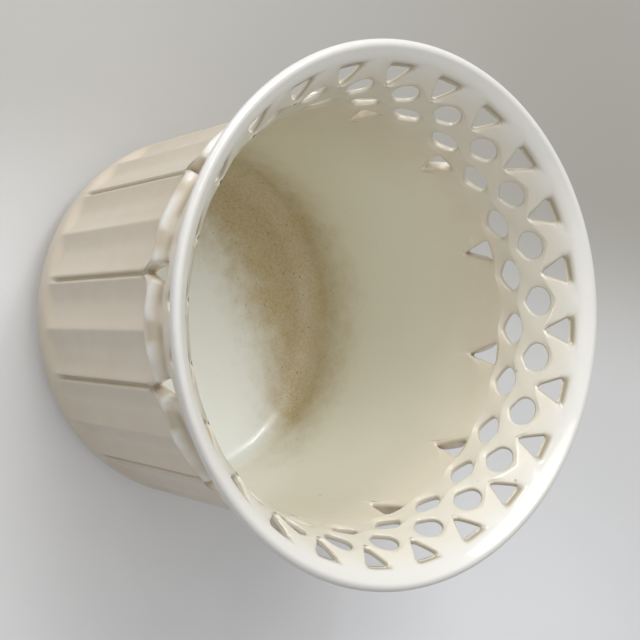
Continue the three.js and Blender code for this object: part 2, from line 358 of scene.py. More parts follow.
def triangle_outline(half_width, top, point, sharpness):
    """Distance to a triangle's edge: the three sides' closeness, joined by a high power mean."""
    slant = np.arctan2(half_width, top + point)
    side = point * np.sin(slant)

    def outline(turn):
        """The point of the edge at a turn round the opening's middle."""
        up = clamp(np.sin(turn)) / top
        right = clamp(np.cos(turn + slant)) / side
        left = clamp(-np.cos(turn - slant)) / side
        distance = (up**sharpness + right**sharpness + left**sharpness) ** (-1 / sharpness)
        return distance * np.cos(turn), distance * np.sin(turn)

    return outline


def teardrop_outline(turn):
    """A circle with the two lines that touch it at 45 degrees, meeting in a softened point."""
    from_point = np.abs((turn + np.pi / 2 + np.pi) % (2 * np.pi) - np.pi)
    softened = np.sqrt(from_point**2 + np.radians(TEARDROP_POINT_SOFTNESS) ** 2)
    distance = 1 / np.cos(np.maximum(0, np.pi / 4 - softened))
    return TEARDROP_WIDTH * distance * np.cos(turn), TEARDROP_RISE * distance * np.sin(turn)


def almond_outline(turn):
    """Superellipse: round above, and below nearer to a shallow V."""
    above = np.sin(turn) > 0
    height = np.where(above, ALMOND_TOP, ALMOND_POINT)
    power = np.where(above, ALMOND_TOP_POWER, ALMOND_POINT_POWER)
    across = (np.abs(np.cos(turn)) / ALMOND_WIDTH) ** power
    distance = (across + (np.abs(np.sin(turn)) / height) ** power) ** (-1 / power)
    return distance * np.cos(turn), distance * np.sin(turn)


def pierced_cell(middle_angle, middle_level, edge_angles, edge_levels, outline, bevel_outline=None):
    """One opening and the wall round it, as rows from the inside face's edge to the outside's.

    A column of the grid starts on the opening's outline in the wall's middle, goes straight out,
    turns onto the face by a quarter circle along the outline's normal, then runs to the cell's
    edge, where the strand is highest by a parabola. A bevel slopes the inside face down to the
    opening from a larger outline, deepest towards the rim.
    """
    run = np.interp(middle_level, LEVELS, RUNS)
    across = np.radians(edge_angles - middle_angle) * np.interp(edge_levels, LEVELS, MIDDLE)
    edge = np.array([across, np.interp(edge_levels, LEVELS, RUNS) - run])
    turn = np.arctan2(edge[1], edge[0])
    chance = np.sin(middle_angle * CHANCE_WAVES + middle_level)

    def cut(toward):
        """The outline a little turned and a little larger or smaller, as a hand-cut hole is."""
        distance = np.hypot(*outline(toward + TURN_CHANGE * chance[0]))
        return distance * (1 + SIZE_CHANGE * chance[1]) * np.array([np.cos(toward), np.sin(toward)])

    hole = cut(turn)
    along = cut(turn + NEARBY_TURN) - cut(turn - NEARBY_TURN)
    normal = np.array([along[1], -along[0]]) / np.hypot(*along)
    width = np.minimum(EDGE_WIDTH, EDGE_SHARE_OF_ROOM * np.hypot(*(edge - hole)))
    turns = np.radians(EDGE_TURNS)[:, None]
    step = np.vstack([np.zeros_like(width), width * (1 - np.cos(turns))])
    depth = np.concatenate([[[0]], EDGE_STRAIGHT + (1 - EDGE_STRAIGHT) * np.sin(turns)])
    soft_edge = hole[:, None] + step * normal[:, None]

    def bevel_depth(x, y):
        """The depth at the opening times a power of the way left to the bevel's outline."""
        toward = np.arctan2(y, x)
        hole, end = np.hypot(*cut(toward)), np.hypot(*bevel_outline(toward))
        left = clamp(1 - (np.hypot(x, y) - hole) / (end - hole))
        deepest = BEVEL_SIDE + (BEVEL_TOP - BEVEL_SIDE) * smooth(np.sin(toward), *BEVEL_DEEPENS)
        return deepest * left**BEVEL_POWER

    def face(side, parts):
        """Rows on one face: over the soft edge, then by parts of the way to the cell's edge."""
        parts = np.array(parts)[:, None]
        start = soft_edge[:, -1:]
        x, y = np.concatenate([soft_edge, start + parts * (edge[:, None] - start)], axis=1)
        levels = np.interp(run + y, RUNS, LEVELS)
        angles = middle_angle + np.degrees(x / np.interp(levels, LEVELS, MIDDLE))
        levels[-1] = edge_levels
        angles[-1] = edge_angles
        left = np.vstack([np.ones_like(step), (1 - parts) * np.ones_like(width)])
        low = CROWN * left**2
        if side < 0 and bevel_outline:
            low = low + bevel_depth(x, y)
        depths = np.vstack([depth, np.ones_like(parts)])
        return wall_points(angles, levels, side * depths, low)

    inside = face(-1, BEVEL_PARTS if bevel_outline else STRAND_PARTS)
    outside = face(1, STRAND_PARTS)
    return np.concatenate([inside[::-1], outside[1:]])


def joined(*edges):
    """The angles and the levels of all edges, one after another."""
    return [np.concatenate(values) for values in zip(*edges)]


def path(angles, levels, segments):
    """Even steps along the straight edges from each crossing to the next, without the last one."""
    edges = []
    for index, count in enumerate(segments):
        part = np.arange(count) / count
        ends = [values[index : index + 2] for values in (angles, levels)]
        edges.append([start + (end - start) * part for start, end in ends])
    return joined(*edges)


def large_triangle_cell(first):
    """Cell under the lip: two strands below, an upright at each side and the lip's seam above."""
    left, middle, right = first, first + OFFSET_ANGLE, first + HALF_PANEL
    edge = path(
        [middle, right, right, left, left, middle],
        [CROSSING_UPPER, CROSSING_HIGH, COLLAR_TOP, COLLAR_TOP, CROSSING_HIGH, CROSSING_UPPER],
        [STRAND_SEGMENTS, UPRIGHT_SEGMENTS, TOP_SEGMENTS, UPRIGHT_SEGMENTS, STRAND_SEGMENTS],
    )
    opening, bevel = triangle_outline(**LARGE_TRIANGLE), triangle_outline(**BEVEL)
    return pierced_cell(middle, LARGE_TRIANGLE_LEVEL, *edge, opening, bevel)


def teardrop_cell(middle):
    """Six-sided cell: two strands below, an upright at each side and two strands above."""
    left, right = middle - OFFSET_ANGLE, middle + OFFSET_ANGLE
    going_up = [CROSSING_LOW, CROSSING_LOWER, CROSSING_UPPER]
    edge = path(
        [middle, right, right, middle, left, left, middle],
        going_up + [CROSSING_HIGH] + going_up[::-1],
        [STRAND_SEGMENTS, UPRIGHT_SEGMENTS, STRAND_SEGMENTS] * 2,
    )
    return pierced_cell(middle, TEARDROP_LEVEL, *edge, teardrop_outline)


def almond_cell(first):
    """Cell over the shoulder: its seam below, an upright at each side and two strands above."""
    left, middle, right = first, first + OFFSET_ANGLE, first + HALF_PANEL
    bottom = first + HALF_PANEL_ANGLES[:-1]
    upper = path(
        [right, right, middle, left, left],
        [seam_level(right), CROSSING_LOW, CROSSING_LOWER, CROSSING_LOW, seam_level(left)],
        [LOW_UPRIGHT_SEGMENTS, STRAND_SEGMENTS, STRAND_SEGMENTS, LOW_UPRIGHT_SEGMENTS],
    )
    edge = joined((bottom, seam_level(bottom)), upper)
    return pierced_cell(middle, ALMOND_LEVEL, *edge, almond_outline)


def shoulder_side(angle, parts):
    """Levels at parts of the way from the top of the cove to the seam with the collar."""
    cove_top = arch_height(angle) + COVE_HEIGHT
    return cove_top + parts * (seam_level(angle) - cove_top)


def small_triangle_cell(middle):
    """The wall over a groove. Its lower edge follows the coves of the two arches beside it."""
    half = HALF_PANEL_ANGLES[PANEL_STRIP_COLUMN:] - HALF_PANEL
    across = middle + np.concatenate([half, -half[-2::-1]])
    left, right = across[0], across[-1]
    up_right = shoulder_side(right, STRIP_PARTS)[1:-1]
    down_left = shoulder_side(left, STRIP_PARTS)[-2:0:-1]
    edge = joined(
        (across, shoulder_side(across, 0)),
        (np.full_like(up_right, right), up_right),
        (across[::-1], seam_level(across[::-1])),
        (np.full_like(down_left, left), down_left),
    )
    return pierced_cell(middle, SMALL_TRIANGLE_LEVEL, *edge, triangle_outline(**SMALL_TRIANGLE))


def patch(points, closed=True, flip=False, joint=False):
    """A grid of points, whether its rows are closed rings, and whether it is a hidden joint."""
    return {"points": points, "closed": closed, "flip": flip, "joint": joint}


def patch_faces(shape, closed, flip):
    """Four-sided faces from each row and column of a grid to the next."""
    rows, columns = shape
    row = columns * np.arange(rows - 1)[:, None]
    column = np.arange(columns if closed else columns - 1)
    here, after = row + column, row + (column + 1) % columns
    faces = np.stack([here, after, after + columns, here + columns], axis=-1).reshape(-1, 4)
    return faces[:, ::-1] if flip else faces


def shared_places(points):
    """Each place's first point and each point's place, once points are rounded to a fine grid."""
    grid = np.round(points * WELDS_PER_MM).astype(np.int64)
    _, first, place = np.unique(grid, axis=0, return_index=True, return_inverse=True)
    return first, place.reshape(-1)


def stacked(points, faces):
    """All points, and all faces, numbered on from the points before their own."""
    starts = np.cumsum([0] + [len(own) for own in points])
    faces = [own + start for own, start in zip(faces, starts)]
    return np.concatenate(points), np.concatenate(faces)


def weld(patches):
    """All patches as one closed surface, where points in one place become one point."""
    faces = [patch_faces(p["points"].shape[:2], p["closed"], p["flip"]) for p in patches]
    hidden = np.concatenate([np.full(len(own), p["joint"]) for own, p in zip(faces, patches)])
    points, faces = stacked([p["points"].reshape(-1, 3) for p in patches], faces)
    first, place = shared_places(points)
    return points[first], place[faces], hidden


def ring_joint(lower, upper):
    """The hidden faces straight from one ring of points to another."""
    return patch(np.stack([lower, upper]), joint=True)


def wall_joint(angles, levels, side):
    """The hidden faces through the wall, from one of its faces to the other."""
    return ring_joint(wall_points(angles, levels, side), wall_points(angles, levels, -side))


def pairs(radius, z):
    """A profile of radii and levels, either of which may be one number."""
    return np.stack(np.broadcast_arrays(radius, z), axis=-1)


def lathe(profile, angles):
    """A profile of radii and levels carried round the axis."""
    radius, z = np.array(profile).T
    return round_points(angles, radius[:, None], z[:, None])


def arc(radius, z, size, start, end, steps):
    """Part of a circle: its middle plus its size times the cosine and the sine of each turn."""
    turns = np.radians(np.linspace(start, end, steps))
    return pairs(radius + size * np.cos(turns), z + size * np.sin(turns))


def heading(degrees, length):
    """A step of a given length that way: the length times the cosine and the sine."""
    turn = np.radians(degrees)
    return length * np.array([np.cos(turn), np.sin(turn)])


def hermite(start, end, start_way, end_way, steps):
    """Cubic that leaves one point in a given direction and comes into another in a given one."""
    t = np.linspace(0, 1, steps)[:, None]
    return (
        (2 * t**3 - 3 * t**2 + 1) * start
        + (t**3 - 2 * t**2 + t) * start_way
        + (3 * t**2 - 2 * t**3) * end
        + (t**3 - t**2) * end_way
    )


def foot_patches():
    """The foot's profile carried round: sloping inner side, soft edge, flat and half-round bead."""
    bead = FOOT_TOP / 2
    slope = [(FOOT_TOP_INNER, FOOT_TOP), FOOT_SLOPE_POINT]
    edge = arc(FOOT_INNER + FOOT_EDGE, FOOT_EDGE, FOOT_EDGE, 180, 270, FOOT_EDGE_POINTS)
    flat_start = FOOT_INNER + FOOT_EDGE + FOOT_FLAT_INSET
    flat_end = BEAD_OUT - bead - FOOT_FLAT_INSET
    flat = pairs(np.linspace(flat_start, flat_end, FOOT_FLAT_POINTS), 0)
    outer = arc(BEAD_OUT - bead, bead, bead, -90, 90, BEAD_POINTS)
    angles = np.arange(RING_COLUMNS) * 360 / RING_COLUMNS
    ring = lathe(np.concatenate([slope, edge, flat, outer]), angles)
    return [patch(ring), ring_joint(ring[-1], ring[0])]


def dish_patches():
    """Heel outside, with a fine bell-shaped crease; floor and quarter-round fillet inside."""
    crease = CREASE_LEVEL + CREASE_HALF_WIDTH * CREASE_STEPS
    heel = np.concatenate([HEEL_LEVELS, crease, ABOVE_CREASE_LEVELS])
    sunk = CREASE_DEPTH * bell(heel - CREASE_LEVEL, CREASE_HALF_WIDTH)
    outside = lathe(pairs(outer_radius(heel) - sunk, heel), FINE_ANGLES)
    fillet = FILLET_TOP - FLOOR_FILLET * np.cos(np.radians(FILLET_TURNS))
    fillet = np.append(fillet[fillet < DISH_TOP - FILLET_CLEARANCE], DISH_TOP)
    floor = pairs(np.append(FLOOR_RADII, inner_radius(FLOOR_TOP)), FLOOR_TOP)
    inside = lathe(np.concatenate([floor, pairs(inner_radius(fillet), fillet)]), FINE_ANGLES)
    under = np.append(UNDER_RADII, [FOOT_TOP_INNER, outer_radius(FOOT_TOP)])
    return [
        patch(outside),
        patch(inside, flip=True),
        patch(lathe(pairs(under, FOOT_TOP), FINE_ANGLES)),
        ring_joint(outside[-1], inside[-1]),
    ]


def body_patches():
    """Outer radius plus the relief outside, the bore's radius inside, and a joint at each end."""
    levels = np.concatenate([FLUTE_LEVELS, UPPER_BODY_LEVELS])[:, None]
    radius = outer_radius(levels) + relief(FINE_ANGLES, levels)
    outside = round_points(FINE_ANGLES, radius, levels)
    inside = lathe(pairs(inner_radius(BORE_LEVELS), BORE_LEVELS), FINE_ANGLES)
    return [
        patch(outside),
        patch(inside, flip=True),
        ring_joint(inside[0], outside[0]),
        ring_joint(outside[-1], inside[-1]),
    ]


def shoulder_patches():
    """Arched tops and coves, strips of roll between small triangles, and the triangles' cells."""
    arch = arch_height(FINE_ANGLES)
    panel_top = BODY_TOP + PANEL_TOP_PARTS[:, None] * (arch - BODY_TOP)
    cove = arch + COVE_HEIGHT * COVE_PARTS[:, None]
    outside = wall_points(FINE_ANGLES, np.concatenate([panel_top, cove]), 1)
    bore = BODY_TOP + SHOULDER_BORE_PARTS[:, None] * (arch + COVE_HEIGHT - BODY_TOP)
    inside = wall_points(FINE_ANGLES, bore, -1)
    patches = [patch(outside), patch(inside, flip=True), ring_joint(inside[0], outside[0])]

    half = HALF_PANEL_ANGLES[: PANEL_STRIP_COLUMN + 1]
    across = np.concatenate([-half[:0:-1], half])
    for panel in range(0, 360, PANEL_ANGLE):
        angles = panel + across
        levels = shoulder_side(angles, STRIP_PARTS[:, None])
        patches.append(patch(wall_points(angles, levels, 1), closed=False))
        patches.append(patch(wall_points(angles, levels, -1), closed=False, flip=True))
        patches.append(patch(small_triangle_cell(panel + HALF_PANEL), flip=True))
    patches.append(wall_joint(FINE_ANGLES, seam_level(FINE_ANGLES), 1))
    return patches


def collar_patches():
    """The cells of the three rows of openings, and the joints with the shoulder and the lip."""
    patches = []
    for first in range(0, 360, HALF_PANEL):
        for cell in (large_triangle_cell, teardrop_cell, almond_cell):
            patches.append(patch(cell(first), flip=True))
    seam = wall_joint(FINE_ANGLES, seam_level(FINE_ANGLES), -1)
    return patches + [seam, wall_joint(TOP_ANGLES, COLLAR_TOP, 1)]


def lip_patches():
    """Profile of the lip: out of the wall, round the roll, and back into the wall inside."""
    through = THROUGH[-1]
    middle = np.array([MIDDLE[-1], COLLAR_TOP])
    way_through = np.array([np.cos(through), -np.sin(through)])
    outer = middle + OUT_REACH[-1] * way_through
    inner = middle - IN_REACH[-1] * way_through
    along = np.array([np.sin(through), np.cos(through)])
    centre = RIM_RADIUS - LIP_RADIUS, POT_HEIGHT - LIP_RADIUS
    roll = arc(*centre, LIP_RADIUS, LIP_OUTER_TURN, LIP_INNER_TURN, LIP_ROLL_POINTS)
    leave, arrive = LIP_OUTSIDE_PULLS
    into_roll = heading(LIP_OUTER_TURN + 90, arrive)
    outside = hermite(outer, roll[0], leave * along, into_roll, LIP_OUTSIDE_POINTS)
    leave, arrive = LIP_INSIDE_PULLS
    out_of_roll = heading(LIP_INNER_TURN + 90, leave)
    inside = hermite(roll[-1], inner, out_of_roll, -arrive * along, LIP_INSIDE_POINTS)
    points = lathe(np.concatenate([outside, roll[1:], inside[1:]]), TOP_ANGLES)
    return [patch(points), ring_joint(points[-1], points[0])]


def all_normals(shapes):
    """Normals of the seen faces at every point, added up over all parts, so no joint shows."""
    seen = [faces[~hidden] for _, faces, hidden in shapes.values()]
    points, faces = stacked([points for points, _, _ in shapes.values()], seen)
    across = points[faces[:, 2]] - points[faces[:, 0]]
    face_normals = np.cross(across, points[faces[:, 3]] - points[faces[:, 1]])
    first, place = shared_places(points)
    total = np.zeros((len(first), 3))
    for corner in range(4):
        np.add.at(total, place[faces[:, corner]], face_normals)
    total /= np.maximum(np.linalg.norm(total, axis=1, keepdims=True), SHORTEST_NORMAL)
    return total[place]


def make_mesh(name, points, faces, hidden, normals):
    """A smooth mesh with the given normals, but flat ones on the hidden joints.

    A corner in the same point as the next one is left out, so at a pole four corners become three.
    """
    own_corner = faces != np.roll(faces, -1, axis=1)
    sides = own_corner.sum(axis=1)
    kept = sides > 2
    flat = faces[kept][own_corner[kept]]
    sides, hidden = sides[kept], hidden[kept]
    mesh = bpy.data.meshes.new(name)
    mesh.vertices.add(len(points))
    mesh.vertices.foreach_set("co", (points * MM).ravel().astype(np.float32))
    mesh.loops.add(len(flat))
    mesh.loops.foreach_set("vertex_index", flat.astype(np.int32))
    mesh.polygons.add(len(sides))
    mesh.polygons.foreach_set("loop_start", (np.cumsum(sides) - sides).astype(np.int32))
    mesh.polygons.foreach_set("use_smooth", np.ones(len(sides), bool))
    mesh.update(calc_edges=True)
    mesh.validate()
    flat_normals = np.empty(len(mesh.polygons) * 3, np.float32)
    mesh.polygons.foreach_get("normal", flat_normals)
    owner = np.repeat(np.arange(len(sides)), sides)
    corner_normals = normals[flat]
    at_joint = hidden[owner]
    corner_normals[at_joint] = flat_normals.reshape(-1, 3)[owner][at_joint]
    mesh.normals_split_custom_set(corner_normals.tolist())
    return mesh


def new_object(name, data):
    """An object in the scene for a mesh, a lamp or a camera."""
    thing = bpy.data.objects.new(name, data)
    bpy.context.scene.collection.objects.link(thing)
    return thing


# ---- materials

# Colours of glaze and clay, in linear light
CREAM = (0.715, 0.628, 0.503, 1)
PALE_CREAM = (0.75, 0.68, 0.56, 1)
COLLAR_TONE = (0.67, 0.65, 0.575, 1)
# Whiter at the rim, as a painted sheen
RIM_TONE_AND_SHEEN = (0.7, 0.685, 0.655, 1)
# Tan below the arches; more of it at the heel is painted shade where the wall turns under
TAN_AND_HEEL_SHADE = (0.59, 0.5, 0.385, 1)
YELLOWED = (0.82, 0.805, 0.68, 1)
FLOOR_TONE = (0.73, 0.745, 0.72, 1)
STAIN_BROWN = (0.43, 0.325, 0.14, 1)
DUST_BROWN = (0.14, 0.1, 0.04, 1)
# Olive of pooled glaze and painted shade; white of thin glaze and a painted highlight
OLIVE_POOL_AND_SHADE = (0.33, 0.26, 0.135, 1)
THIN_GLAZE_AND_HIGHLIGHT_WHITE = (0.9, 0.89, 0.86, 1)
SPECK_BROWN = (0.3, 0.22, 0.12, 1)
CLAY = (0.68, 0.6, 0.45, 1)
PALE_CLAY = (0.78, 0.71, 0.57, 1)
CLAY_SPECK_BROWN = (0.36, 0.27, 0.17, 1)

# Bands, for remap: from one height, distance or noise to another, and a tone's share at each
CREAM_NOISE = (0.35, 0.65)
COLLAR_BAND = (0.1, 0.12, 0.0, 0.7)
RIM_SHEEN_BAND = (0.127, 0.135)
ARCH_BAND = (0.085, 0.105, 1.0, 0.0)
TAN_AND_HEEL_SHADE_BAND = (0.005, 0.02, 0.75, 0.4)
YELLOWED_BAND = (0.06, 0.115, 0.85, 0.15)
FLOOR_BAND = (0.0062, 0.014, 0.85, 0.0)
STAIN_EDGE = (0.073, 0.104)
STAIN_UP_WALL = (0.002, 0.04, 1.0, 0.0)
STAIN_GRAIN = (0.3, 0.7, 0.74, 0.94)
WALL_DUST = (0.03, 0.09, 0.1, 0.0)
CLAY_NOISE = (0.3, 0.7)

# Middle of the circle that stayed clean, and how far noise moves the stain's edge, in metres
CLEAN_MIDDLE = (0.0594, 0.0083, 0)
STAIN_DRIFT = 0.03

# Patterns: noise in waves a metre, and specks with their share of the cells and their size
TONE_SCALE = 22.0
STAIN_SCALE = 45.0
GRAIN_SCALE = 1100.0
RIPPLE_SCALE = 90.0
CLAY_TONE_SCALE = 60.0
CLAY_GRAIN_SCALE = 1500.0
CLOUD_STEP = 4.3
SPECK_SHARPNESS = 12.0
STAIN_DUST_SPECKS = {"Scale": 750.0, "Share": 0.28, "Size": 0.32}
GLAZE_SPECKS = {"Scale": 240.0, "Share": 0.02, "Size": 0.2}
CLAY_SPECKS = {"Scale": 420.0, "Share": 0.25, "Size": 0.3}

# Strengths of the tones, and the finish
STAIN_DUST = 0.55
# Strengths of pooled glaze with painted shade, and of thin glaze with a painted highlight
POOL_AND_SHADE_STRENGTH = 0.8
THIN_GLAZE_AND_HIGHLIGHT_STRENGTH = -1.0
SPECK_STRENGTH = 0.5
GLAZE_ROUGHNESS = 0.28
STAIN_ROUGHNESS = 0.32
GLAZE_COAT = 0.45
COAT_ROUGHNESS = 0.035
CLAY_ROUGHNESS = 0.85
RIPPLE_BUMP = {"Strength": 0.12, "Distance": 0.002}
CLAY_BUMP = {"Strength": 0.3, "Distance": 0.0004}


def new_group(name, numbers, result):
    """A node group for a vector and named numbers, with their sockets and its result's."""
    group = bpy.data.node_groups.new(name, "ShaderNodeTree")
    face = group.interface
    face.new_socket("Vector", in_out="INPUT", socket_type="NodeSocketVector")
    for label, value in numbers.items():
        number = face.new_socket(label, in_out="INPUT", socket_type="NodeSocketFloat")
        number.default_value = value
    face.new_socket(result, in_out="OUTPUT", socket_type="NodeSocketFloat")
    given = group.nodes.new("NodeGroupInput").outputs
    return group, given, group.nodes.new("NodeGroupOutput").inputs[result]


def feed(tree, node, inputs):
    """Links each named or numbered input of a node to a socket, or gives it its value."""
    for key, value in inputs.items():
        if isinstance(value, bpy.types.NodeSocket):
            tree.links.new(value, node.inputs[key])
        else:
            node.inputs[key].default_value = value


def add_node(tree, kind, inputs=None, **settings):
    """A shader node with its settings and inputs."""
    node = tree.nodes.new("ShaderNode" + kind)
    for key, value in settings.items():
        setattr(node, key, value)
    feed(tree, node, inputs or {})
    return node


def math_node(tree, operation, *values, clamped=False):
    """The result of one operation on the values."""
    inputs = dict(enumerate(values))
    node = add_node(tree, "Math", inputs, operation=operation, use_clamp=clamped)
    return node.outputs[0]


def product(tree, *values):
    """All the values, multiplied one after another."""
    total = values[0]
    for value in values[1:]:
        total = math_node(tree, "MULTIPLY", total, value)
    return total


def mixed_colour(tree, factor, first, second):
    """The first colour, with the factor's share of it replaced by the second."""
    inputs = {0: factor, 6: first, 7: second}
    return add_node(tree, "Mix", inputs, data_type="RGBA").outputs[2]


def painted(tree, colour, *layers):
    """The colour with each layer's tone mixed in, one after another, by the layer's share."""
    for share, tone in layers:
        colour = mixed_colour(tree, share, colour, tone)
    return colour


def remap(tree, value, low, high, start=0.0, end=1.0):
    """A smooth step from start, where the value is low, to end, where it is high."""
    inputs = {0: value, 1: low, 2: high, 3: start, 4: end}
    node = add_node(tree, "MapRange", inputs, interpolation_type="SMOOTHSTEP")
    return node.outputs[0]


def noise(tree, place, scale, detail):
    """Soft noise from 0 to 1, of a scale in waves a metre, with finer noise added to it."""
    inputs = {"Vector": place, "Scale": scale, "Detail": detail}
    return add_node(tree, "TexNoise", inputs).outputs[0]


def place_group(tree, group, place, values):
    """The output of a node group at a place, with the given values."""
    inputs = {"Vector": place, **values}
    return add_node(tree, "Group", inputs, node_tree=group).outputs[0]


def cloud_group():
    """Slow, soft changes of tone in the glaze: two sizes of noise, half and half."""
    group, given, out = new_group("glaze_clouds", {"Scale": 30.0}, "Tone")
    place, scale = given["Vector"], given["Scale"]
    broad = noise(group, place, scale, 2.0)
    small = noise(group, place, product(group, scale, CLOUD_STEP), 3.0)
    group.links.new(product(group, math_node(group, "ADD", broad, small), 0.5), out)
    return group


def speck_group():
    """Small round specks: near the middles of random cells, in the share of cells that is asked."""
    numbers = {"Scale": 200.0, "Share": 0.1, "Size": 0.2}
    group, given, out = new_group("clay_specks", numbers, "Mask")
    cell_inputs = {"Vector": given["Vector"], "Scale": given["Scale"]}
    cells = add_node(group, "TexVoronoi", cell_inputs).outputs
    chances = add_node(group, "SeparateColor", {0: cells["Color"]}).outputs
    chosen = math_node(group, "LESS_THAN", chances[0], given["Share"])
    own_size = product(group, given["Size"], chances[1])
    near = math_node(group, "SUBTRACT", own_size, cells["Distance"])
    soft = math_node(group, "MULTIPLY", near, SPECK_SHARPNESS, clamped=True)
    group.links.new(product(group, soft, chosen), out)
    return group


CLOUDS = cloud_group()
SPECKS = speck_group()


def new_material(name):
    """A material, its node tree, its shader and the place on the pot in metres."""
    material = bpy.data.materials.new(name)
    material.use_nodes = True
    tree = material.node_tree
    shader = tree.nodes["Principled BSDF"]
    place = tree.nodes.new("ShaderNodeTexCoord").outputs["Object"]
    return material, tree, shader, place


def bumped(tree, height, values):
    """The normal, tilted by the slope of a height, at a strength and a distance."""
    return add_node(tree, "Bump", {"Height": height, **values}).outputs[0]


def glaze_material():
    """Cream glaze: whiter at the rim as a painted sheen, tan below the arches with painted shade
    at the heel, yellowed and stained inside.

    Each tone is mixed in by its band of height. The stain is a crescent on the floor: all that is
    further from the clean circle's middle than its edge, and not far up the wall.
    """
    material, tree, shader, place = new_material("cream_glaze")
    height = add_node(tree, "SeparateXYZ", {0: place}).outputs[2]
    inside = add_node(tree, "Attribute", attribute_name="inside").outputs["Fac"]
    pool_and_light = add_node(tree, "Attribute", attribute_name="glaze_pool_and_painted_light").outputs["Fac"]
    outside = math_node(tree, "SUBTRACT", 1.0, inside)

    tone = place_group(tree, CLOUDS, place, {"Scale": TONE_SCALE})
    # Tan below the arches, stronger towards the heel as painted shade
    heel = remap(tree, height, *TAN_AND_HEEL_SHADE_BAND)
    colour = painted(
        tree,
        mixed_colour(tree, remap(tree, tone, *CREAM_NOISE), CREAM, PALE_CREAM),
        (remap(tree, height, *COLLAR_BAND), COLLAR_TONE),
        # Whiter at the rim, as a painted sheen
        (remap(tree, height, *RIM_SHEEN_BAND), RIM_TONE_AND_SHEEN),
        (product(tree, heel, remap(tree, height, *ARCH_BAND), outside), TAN_AND_HEEL_SHADE),
        (product(tree, remap(tree, height, *YELLOWED_BAND), inside), YELLOWED),
        (product(tree, remap(tree, height, *FLOOR_BAND), inside), FLOOR_TONE),
    )

    ends = {0: place, 1: CLEAN_MIDDLE}
    beyond = add_node(tree, "VectorMath", ends, operation="DISTANCE").outputs["Value"]
    grime = place_group(tree, CLOUDS, place, {"Scale": STAIN_SCALE})
    drift = product(tree, math_node(tree, "SUBTRACT", grime, 0.5), STAIN_DRIFT)
    reached = remap(tree, math_node(tree, "ADD", beyond, drift), *STAIN_EDGE)
    up_wall = remap(tree, math_node(tree, "SUBTRACT", height, drift), *STAIN_UP_WALL)
    stain = product(tree, reached, up_wall, inside)
    grain = remap(tree, noise(tree, place, GRAIN_SCALE, 3.0), *STAIN_GRAIN)
    wall_dust = remap(tree, height, *WALL_DUST)
    dusty = math_node(tree, "ADD", product(tree, stain, STAIN_DUST), wall_dust)
    dust = product(tree, place_group(tree, SPECKS, place, STAIN_DUST_SPECKS), dusty, inside)
    specks = place_group(tree, SPECKS, place, GLAZE_SPECKS)
    colour = painted(
        tree,
        colour,
        (product(tree, stain, grain), STAIN_BROWN),
        (dust, DUST_BROWN),
        # Olive where glaze pools and as painted shade, white as thin glaze and a painted highlight
        (math_node(tree, "MULTIPLY", pool_and_light, POOL_AND_SHADE_STRENGTH, clamped=True), OLIVE_POOL_AND_SHADE),
        (math_node(tree, "MULTIPLY", pool_and_light, THIN_GLAZE_AND_HIGHLIGHT_STRENGTH, clamped=True), THIN_GLAZE_AND_HIGHLIGHT_WHITE),
        (product(tree, specks, SPECK_STRENGTH), SPECK_BROWN),
    )
    coat = math_node(tree, "MULTIPLY_ADD", stain, -GLAZE_COAT, GLAZE_COAT, clamped=True)
    finish = {
        "Base Color": colour,
        "Roughness": math_node(tree, "MULTIPLY_ADD", stain, STAIN_ROUGHNESS, GLAZE_ROUGHNESS),
        "Coat Weight": coat,
        "Coat Roughness": COAT_ROUGHNESS,
        "Normal": bumped(tree, noise(tree, place, RIPPLE_SCALE, 2.0), RIPPLE_BUMP),
    }
    feed(tree, shader, finish)
    return material


def clay_material():
    """Bare fired clay: two tones mixed by noise, brown specks, and a fine grain as a bump."""
    material, tree, shader, place = new_material("bare_fired_clay")
    tone = place_group(tree, CLOUDS, place, {"Scale": CLAY_TONE_SCALE})
    colour = mixed_colour(tree, remap(tree, tone, *CLAY_NOISE), CLAY, PALE_CLAY)
    specks = place_group(tree, SPECKS, place, CLAY_SPECKS)
    colour = mixed_colour(tree, product(tree, specks, SPECK_STRENGTH), colour, CLAY_SPECK_BROWN)
    grain = bumped(tree, noise(tree, place, CLAY_GRAIN_SCALE, 3.0), CLAY_BUMP)
    feed(tree, shader, {"Base Color": colour, "Roughness": CLAY_ROUGHNESS, "Normal": grain})
    return material


# Where glaze gathers or runs thin, with painted shade and a painted highlight: strengths, levels,
# half widths, and ranges for smooth
UNDERSIDE_MARGIN = 0.01
GROOVE_POOL = 0.7
# Coves, pits and the roll's valley: pooled glaze and painted shade. Gaps and bevels: painted shade.
# Crest: thin glaze and a painted highlight.
COVE_POOL_AND_SHADE = 0.8
COVE_ABOVE_ARCH = 1.1
COVE_HALF_WIDTH = 1.4
COVE_LEAST = 0.45
PIT_POOL_AND_SHADE = 1.4
PIT_LEVEL = 90
PIT_HALF_WIDTH = 1.6
PIT_HALF_HEIGHT = 3.2
VALLEY_POOL_AND_SHADE = 0.75
VALLEY_LEVEL = 103.3
VALLEY_HALF_WIDTH = 1.5
VALLEY_ANGLE = 4
VALLEY_LUMPS = (-0.8, 0.5)
CREST_LEVEL = 99.6
CREST_HALF_WIDTH = 1.6
CREST_LUMPS = (-0.4, 0.5)
GAP_SHADE = 0.3
GAP_HALF_WIDTH = 2.2
GAP_LUMPS = (0, 0.6)
ROLL_ABOVE_ARCH = (1, 3)
BEVEL_SHADE = 0.6
BEVEL_SUNK = (0.3, 1.5)
BEVEL_TOO_DEEP = (2.1, 3.2)
BEVEL_LEVELS = (118, 124)
CUT_TINT_AND_SHADE = 0.3
CUT_DEPTH = (0.1, 0.7)
CUT_LEVELS = (96, 98)
LIP_MARGIN = 0.5


